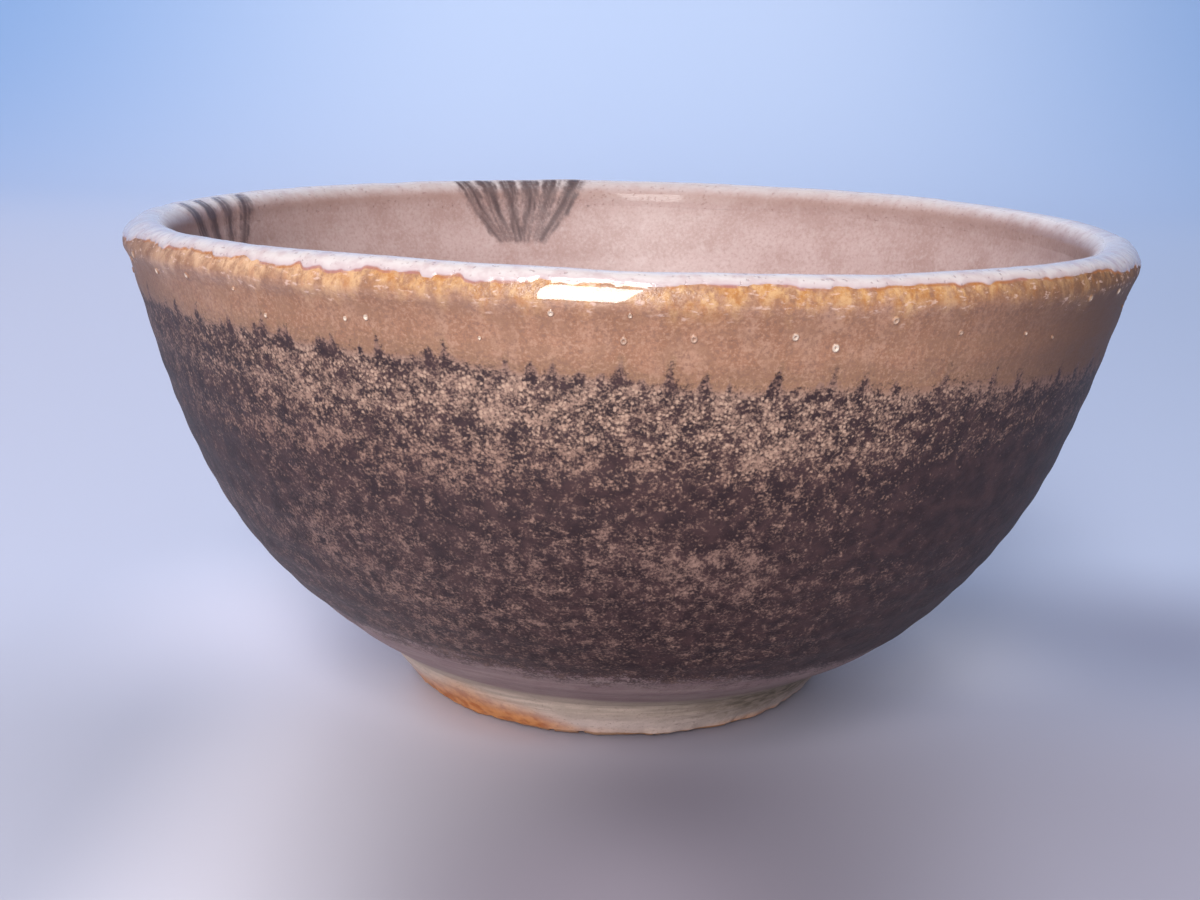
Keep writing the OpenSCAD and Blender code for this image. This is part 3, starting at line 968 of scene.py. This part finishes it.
def outer_coats():
    """The four coats of the outside, which share one recipe and meet edge to edge."""
    plans = (
        ("amber_runs", amber_edge, white_edge, 1440, 24, 8, 0.7, 10),
        ("brown_band", brown_edge, amber_edge, 1440, 20, 6, 0.5, 8),
        ("dark_glaze", dark_edge, brown_edge, 1080, 76, 14, 0.5, 4),
        ("foot_coat", coat_foot_edge, dark_edge, 1080, 40, 8, 0.3, 6),
    )
    for node, low, high, columns, rows, back_rows, thick, strips in plans:
        piece = ring_piece(node + "_mesh", low, high, columns, rows, back_rows, thick, outer_fields, strips)
        place_piece(piece, node, outer_paint(node + "_paint"))


BLISTER_STAND = 0.1                         # how far a blister's rim stands up, in mm


def blister_places():
    """Blisters strewn round the band: direction, height, radius in mm and chalk."""
    chance = np.random.default_rng(77)
    places = []
    for at in np.arange(0, 360, 6.5):
        height = chance.uniform(54.5, 59.2)
        turn, radius = at + chance.uniform(-3, 3), chance.uniform(0.22, 0.5)
        places.append((turn, height, radius, chance.uniform(0.3, 1)))
    return places


def glaze_blisters():
    """Small craters and domes that stand in the band's face, each one a closed disc."""
    spokes, rings = 24, 9
    angle = np.arange(spokes) * 2 * math.pi / spokes
    reach = np.concatenate([np.linspace(0.04, 1, rings), [1.0]])
    points, quads, uvs, data = [], [], [], {}
    places = blister_places()
    for number, (at, height, radius, chalk) in enumerate(places):
        theta0, s0 = math.radians(at), float(COAT.s_outside(height))
        a, q = np.meshgrid(angle, reach)
        theta = theta0 + radius * q * np.sin(a) / RIM_R
        s = s0 + 1.15 * radius * q * np.cos(a)
        rim = bump(q, 0.55, 0.26) - 0.45 * bump(q, 0, 0.3)
        lift = BLISTER_STAND * rim + 0.04 - 0.06 * smooth(q, 0.75, 1.0)
        lift[-1] = -0.2
        r, z, out_r, out_z = COAT.at(s)
        base = relief(theta, s) + lift
        disc = np.stack(thrown(theta, r + out_r * base, z + out_z * base), -1).reshape(-1, 3)
        mark = chalk * (bump(q, 0.45, 0.35) if radius > 0.4 else 1 - smooth(q, 0.4, 0.95))
        start = number * ((rings + 1) * spokes + 2)
        low = start + len(disc)
        centre = disc[:spokes].mean(0)
        under = disc[-spokes:].mean(0)
        ring = start + grid_faces(rings + 1, spokes, True)
        e = np.arange(0, spokes, 2)
        f, g = (e + 1) % spokes, (e + 2) % spokes
        last = start + rings * spokes
        cap = np.stack([start + e, start + f, start + g, np.full_like(e, low)], -1)
        floor = np.stack([last + g, last + f, last + e, np.full_like(e, low + 1)], -1)
        faces = np.concatenate([ring, cap, floor])
        fields = outer_fields(theta.ravel(), s.ravel())
        fields["chalk"] = mark.ravel()
        fields["flow"] = np.stack([FLOW_R * np.sin(theta), FLOW_R * np.cos(theta), s], -1).reshape(-1, 3)
        for key, value in fields.items():
            data.setdefault(key, []).append(np.concatenate([value, value[:1], value[-1:]]))
        spread = np.concatenate([np.repeat(np.minimum(reach, 0.94) * 0.42, spokes), [0, 0]])
        spread[rings * spokes : -2] = 0.46
        turn = np.concatenate([np.tile(angle, rings + 1), [0, 0]])
        column, row = number % 9 + 0.5, number // 9 + 0.5
        cell = np.stack([column + spread * np.sin(turn), row + spread * np.cos(turn)], -1) / 9
        uvs.append(cell[faces.ravel() - start])
        points.append(np.concatenate([disc, [centre, under]]))
        quads.append(faces)
    data = {key: np.concatenate(values) for key, values in data.items()}
    points, quads, uvs = map(np.concatenate, (points, quads, uvs))
    piece = make_mesh("glaze_blisters", points, quads, uvs, data)
    piece.data.materials.append(outer_paint("blister_paint", True))
    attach(piece, "root")


def inner_glaze():
    """The inside, laid out as a disc; the middle of the floor is one point."""
    columns, rows, back_rows = 720, 112, 22
    theta = np.arange(columns) * 2 * math.pi / columns - math.pi
    edge = white_inner_edge(theta)

    def sheet(count, sink):
        v = np.linspace(0, 0.995, count)
        s = edge + (COAT.length - edge) * v[:, None]
        t = np.broadcast_to(theta, s.shape)
        low = sink * smooth(v, 0, 0.04)[:, None]
        x, y, z = coat_surface(t, s, low)
        return np.stack([x, y, z], -1).reshape(-1, 3), t.ravel(), s.ravel(), np.repeat(v, columns)

    front, t0, s0, v0 = sheet(rows, 0.0)
    back, t1, s1, v1 = sheet(back_rows, 0.5)
    front_mid = front[-columns:].mean(0)
    back_mid = back[-columns:].mean(0)
    points = np.concatenate([front, back, [front_mid, back_mid]])
    n = len(front) + len(back)
    faces = [grid_faces(rows, columns), grid_faces(back_rows, columns, True) + len(front)]
    i = np.arange(columns)
    k = (i + 1) % columns
    faces.append(np.stack([len(front) + i, len(front) + k, k, i], -1))
    e = np.arange(0, columns, 2)
    a, b = (e + 1) % columns, (e + 2) % columns
    last, back_last = len(front) - columns, n - columns
    faces.append(np.stack([last + e, last + a, last + b, np.full_like(e, n)], -1))
    faces.append(np.stack([back_last + b, back_last + a, back_last + e, np.full_like(e, n + 1)], -1))
    quads = np.concatenate(faces)
    disc = np.stack([np.sin(t0), -np.cos(t0)], -1)
    uv_front = 0.5 + disc * (0.47 * (1 - v0))[:, None]
    disc_back = np.stack([np.sin(t1), -np.cos(t1)], -1)
    uv_back = 0.93 + disc_back * (0.01 + 0.045 * (1 - v1))[:, None]
    uv_points = np.concatenate([uv_front, uv_back, [[0.5, 0.5], [0.93, 0.93]]])
    uv = uv_points[quads]
    wall = slice(len(faces[0]) + len(faces[1]), len(faces[0]) + len(faces[1]) + columns)
    turn = np.stack([i, i + 1, i + 1, i], -1) / columns
    level = np.broadcast_to([0.0, 0.0, 0.008, 0.008], turn.shape)
    uv[wall] = np.stack([0.01 + 0.6 * turn, 0.004 + level], -1)
    t = np.concatenate([t0, t1, [0, 0]])
    s = np.concatenate([s0, s1, [COAT.length] * 2])
    fields = {"lipshade": inner_shade(s), "past": s - S_CREST}
    piece = make_mesh("inner_glaze_mesh", points, quads, uv.reshape(-1, 2), fields)
    return place_piece(piece, "inner_glaze", inner_paint())


# ---------------------------------------------------------------- brushwork

def fan(middle, spread, count):
    """A plain fan of strokes that lean in to one direction, thinner and paler towards their ends."""
    strokes = []
    for lean in np.linspace(-spread, spread, count):
        run = [(middle + lean, 1.5), (middle + 0.8 * lean, 6), (middle + 0.4 * lean, 11)]
        strokes.append((run, 4.0, 2.5, 0.8, 0.6))
    return strokes


def stroke_line(points, steps=24):
    """A smooth run through a stroke's points, as places along the wall in mm."""
    places = np.array([(math.radians(a) * (LIP_IN_R - 2), S_CREST + inwards) for a, inwards in points])
    knots = np.linspace(0, 1, len(places))
    fine = np.linspace(0, 1, steps)
    line = np.stack([np.interp(fine, knots, places[:, k]) for k in (0, 1)], -1)
    for _ in range(3):
        line[1:-1] = (line[:-2] + 2 * line[1:-1] + line[2:]) / 4
    return line, fine


def ink_field(across, along, strokes, seed):
    """Ink from 0 to 1: full in the strokes, streaked along them and dry at the edges."""
    ink = np.zeros_like(across)
    for number, (points, wide0, wide1, load0, load1) in enumerate(strokes):
        line, fine = stroke_line(points)
        best = np.full_like(across, 1e9)
        where = np.zeros_like(across)
        side = np.zeros_like(across)
        for k in range(len(line) - 1):
            start, step = line[k], line[k + 1] - line[k]
            size = float(step @ step) + 1e-9
            px, py = across - start[0], along - start[1]
            t = np.clip((px * step[0] + py * step[1]) / size, 0, 1)
            gap = np.hypot(px - t * step[0], py - t * step[1])
            closer = gap < best
            best = np.where(closer, gap, best)
            where = np.where(closer, fine[k] + t * (fine[k + 1] - fine[k]), where)
            cross = (px * step[1] - py * step[0]) / math.sqrt(size)
            side = np.where(closer, cross, side)
        half = (wide0 + (wide1 - wide0) * where) / 2
        ragged = 0.35 * cloud(across / 0.8, along / 0.8, 0 * across + number, seed, 3)
        body = 1 - smooth(best / half + ragged, 0.30, 1.30)
        hairs = 0.80 + 0.5 * cloud(side / 0.42, where * 2.2, 0 * side + number, seed + 5, 3)
        load = load0 + (load1 - load0) * where
        ink = np.maximum(ink, np.clip(body * hairs * load, 0, 1))
    return ink


def brush_patch(low_deg, high_deg, near, far, strokes, seed):
    """Points, quads and ink of one thin painted patch that lies in the inner glaze's face."""
    reach = LIP_IN_R - 2
    fine = 0.22
    columns = int(math.radians(high_deg - low_deg) * reach / fine)
    s0, s1 = S_CREST + near, S_CREST + far
    rows = int((s1 - s0) / fine)
    theta = np.radians(np.linspace(low_deg, high_deg, columns))
    s = np.linspace(s0, s1, rows)
    t, s = np.meshgrid(theta, s)
    ink = ink_field(t * reach, s, strokes, seed)
    top = np.stack(coat_surface(t, s, 0.015 - 0.045 * smooth(ink, 0.0, 0.15)), -1).reshape(-1, 3)
    base = np.stack(coat_surface(t, s, 0.2), -1).reshape(-1, 3)
    j, i = np.meshgrid(np.arange(rows - 1), np.arange(columns - 1), indexing="ij")
    a = (j * columns + i).ravel()
    faces = np.stack([a, a + columns, a + columns + 1, a + 1], -1)
    return top, base, faces[:, ::-1], ink.ravel(), t.ravel(), s.ravel()


def brush_painting():
    """All brushwork as one piece of thin closed chips, kept only where there is ink."""
    plans = (
        (-180, -145, 0.6, 14, fan(-162, 9, 6), 401),
        (-120, -85, 0.6, 14, fan(-102, 8, 4), 431),
    )
    points, quads, inks, uvs, places, base = [], [], [], [], [], 0
    shelf = 0.0
    for low_deg, high_deg, near, far, strokes, seed in plans:
        top, under, faces, ink, t, s = brush_patch(low_deg, high_deg, near, far, strokes, seed)
        keep = ink[faces].max(1) > 0.015
        faces = faces[keep]
        count = len(top)
        sides = {(u, v) for face in faces.tolist() for u, v in zip(face, face[1:] + face[:1])}
        rim = sorted((u, v) for u, v in sides if (v, u) not in sides)
        walls = np.array([(v, u, u + count, v + count) for u, v in rim])
        both = np.concatenate([faces, faces[:, ::-1] + count, walls])
        wide = (t - t.min()) / (t.max() - t.min())
        tall = (s - s.min()) / (s.max() - s.min())
        share = 0.44
        flat = np.stack([0.01 + 0.96 * wide, shelf + share * tall], -1)
        under_uv = np.stack([0.5 + 0.02 * wide, 0.975 + 0.02 * tall], -1)
        all_uv = np.concatenate([flat, under_uv])
        shelf += share + 0.01
        used, renumber = np.unique(both, return_inverse=True)
        both = renumber.reshape(both.shape)
        points.append(np.concatenate([top, under])[used])
        inks.append(np.concatenate([ink, ink])[used])
        places.append(np.concatenate([s, s])[used])
        uvs.append(all_uv[used][both.ravel()])
        quads.append(both + base)
        base += len(used)
    s = np.concatenate(places)
    fields = {"ink": np.concatenate(inks), "lipshade": inner_shade(s), "past": s - S_CREST}
    points, quads, uvs = map(np.concatenate, (points, quads, uvs))
    piece = make_mesh("brush_painting_mesh", points, quads, uvs, fields)
    return place_piece(piece, "brush_painting", brush_paint())


# ---------------------------------------------------------------- stage, camera and light

CAMERA_BACK, CAMERA_UP = 211.1, 81.0        # mm from the bowl's axis, and above the resting plane
CAMERA_PITCH, CAMERA_YAW, CAMERA_ROLL = 13.53, -0.84, 1.34
CAMERA_LENS = 48.0


def make_camera():
    data = bpy.data.cameras.new("camera")
    data.sensor_width = 36.0
    data.lens = CAMERA_LENS
    data.clip_start, data.clip_end = 0.01, 20
    camera = bpy.data.objects.new("camera", data)
    pitch, yaw, roll = map(math.radians, (CAMERA_PITCH, CAMERA_YAW, CAMERA_ROLL))
    ahead = Vector((math.sin(yaw) * math.cos(pitch), math.cos(yaw) * math.cos(pitch), -math.sin(pitch)))
    right = ahead.cross(Vector((0, 0, 1))).normalized()
    up = right.cross(ahead)
    right, up = (
        right * math.cos(roll) + up * math.sin(roll),
        up * math.cos(roll) - right * math.sin(roll),
    )
    turn = Matrix((right, up, -ahead)).transposed().to_4x4()
    camera.matrix_world = Matrix.Translation((0, -CAMERA_BACK * MM, CAMERA_UP * MM)) @ turn
    bpy.context.scene.collection.objects.link(camera)
    bpy.context.scene.camera = camera


def floor_spot(p, across, away, x, y, reach):
    """Share that is 1 at a place on the floor and fades to 0 at its reach."""
    side = p.ease(p.sum("ABSOLUTE", p.sum("SUBTRACT", across, x)), 0.0, reach, 1.0, 0.0)
    depth = p.ease(p.sum("ABSOLUTE", p.sum("SUBTRACT", away, y)), 0.0, reach, 1.0, 0.0)
    return p.sum("MULTIPLY", side, depth)


def make_sweep():
    """A pale floor that curves up into a backdrop, with painted light and painted shadow on the floor round
    the bowl.
    """
    half_width, near, curve_start, curve_r, height = 2.6, -2.2, 0.75, 0.7, 2.0
    line = [(near, 0.0), (curve_start, 0.0)]
    for a in np.radians(np.linspace(4, 90, 22)):
        line.append((curve_start + curve_r * math.sin(a), curve_r * (1 - math.cos(a))))
    line.append((curve_start + curve_r, height))
    vertices = [(x, y, z) for y, z in line for x in (-half_width, half_width)]
    faces = [(2 * k, 2 * k + 1, 2 * k + 3, 2 * k + 2) for k in range(len(line) - 1)]
    mesh = bpy.data.meshes.new("sweep")
    mesh.from_pydata(vertices, [], faces)
    mesh.shade_smooth()
    floor = bpy.data.objects.new("sweep", mesh)
    bpy.context.scene.collection.objects.link(floor)
    p = Paint("pale_sweep", IOR=1.45)
    coords = p.tree.nodes.new("ShaderNodeTexCoord")
    split = p.tree.nodes.new("ShaderNodeSeparateXYZ")
    p.plug(coords.outputs["Object"], split.inputs[0])
    across, away = split.outputs["X"], split.outputs["Y"]
    near = p.mix(p.ease(across, 0.0, 0.05), rgb(0.21, 0.19, 0.24), rgb(0.42, 0.40, 0.49))
    bright = p.mix(p.ease(across, -0.036, -0.062), rgb(0.87, 0.84, 0.95), rgb(0.50, 0.50, 0.60))
    near = p.mix(p.ease(across, 0.012, -0.060), near, bright)
    far = p.mix(p.ease(across, 0.25, -0.2), rgb(0.46, 0.52, 0.69), rgb(0.60, 0.61, 0.75))
    middle = p.mix(p.ease(away, -0.045, 0.04), near, far)
    # Painted light: two pale pools lift the floor beside the bowl, on its left and behind it on the right,
    # where it lies in shade.
    middle = p.mix(floor_spot(p, across, away, -0.042, 0.015, 0.045), middle, rgb(0.85, 0.83, 0.98))
    middle = p.mix(floor_spot(p, across, away, 0.040, 0.014, 0.030), middle, rgb(0.92, 0.90, 1.0))
    # Painted shadow: a dark patch further to the right. The patch after it only makes the floor darker just
    # in front of the bowl.
    middle = p.mix(floor_spot(p, across, away, 0.082, 0.014, 0.048), middle, rgb(0.28, 0.29, 0.39))
    middle = p.mix(floor_spot(p, across, away, 0.0, -0.07, 0.03), middle, rgb(0.40, 0.36, 0.44))
    back = p.mix(p.ease(p.sum("ABSOLUTE", across), 0.1, 0.6), rgb(0.57, 0.67, 0.89), rgb(0.29, 0.45, 0.76))
    colour = p.mix(p.ease(away, 0.3, 1.2), middle, back)
    p.finish(colour, 0.5, p.bump(p.noise(p.place(4.0), 2.0), 0.01))
    mesh.materials.append(p.material)


def area_light(name, place, aim, width, height, power, colour, mirrored=False):
    data = bpy.data.lights.new(name, "AREA")
    data.shape = "RECTANGLE"
    data.size, data.size_y = width, height
    data.energy = power
    data.color = colour
    lamp = bpy.data.objects.new(name, data)
    lamp.location = place
    lamp.rotation_euler = (Vector(aim) - Vector(place)).to_track_quat("-Z", "Y").to_euler()
    lamp.visible_glossy = mirrored
    bpy.context.scene.collection.objects.link(lamp)


def make_light():
    """A tall window in front and a little to the left, a weak fill from the left, and a backdrop lamp."""
    area_light("window", (-0.15, -0.93, 0.54), (0, -0.05, 0.05), 0.33, 0.84, 15.5, (1.0, 0.975, 0.965), True)
    area_light("left_fill", (-1.2, -0.3, 0.6), (0, 0, 0.03), 0.7, 0.7, 1.2, (0.95, 0.95, 1.0))
    area_light("backdrop_lamp", (-0.2, 0.45, 1.5), (-0.1, 1.4, 0.35), 1.6, 0.5, 19.0, (0.93, 0.96, 1.0))
    world = bpy.data.worlds.new("sky")
    world.use_nodes = True
    back = world.node_tree.nodes["Background"]
    back.inputs["Color"].default_value = (0.80, 0.86, 1.0, 1.0)
    back.inputs["Strength"].default_value = 0.08
    bpy.context.scene.world = world
    bpy.context.scene.view_settings.view_transform = "Standard"


make_camera()
make_sweep()
make_light()
clay_body()
outer_coats()
lip_glaze()
glaze_blisters()
inner_glaze()
brush_painting()
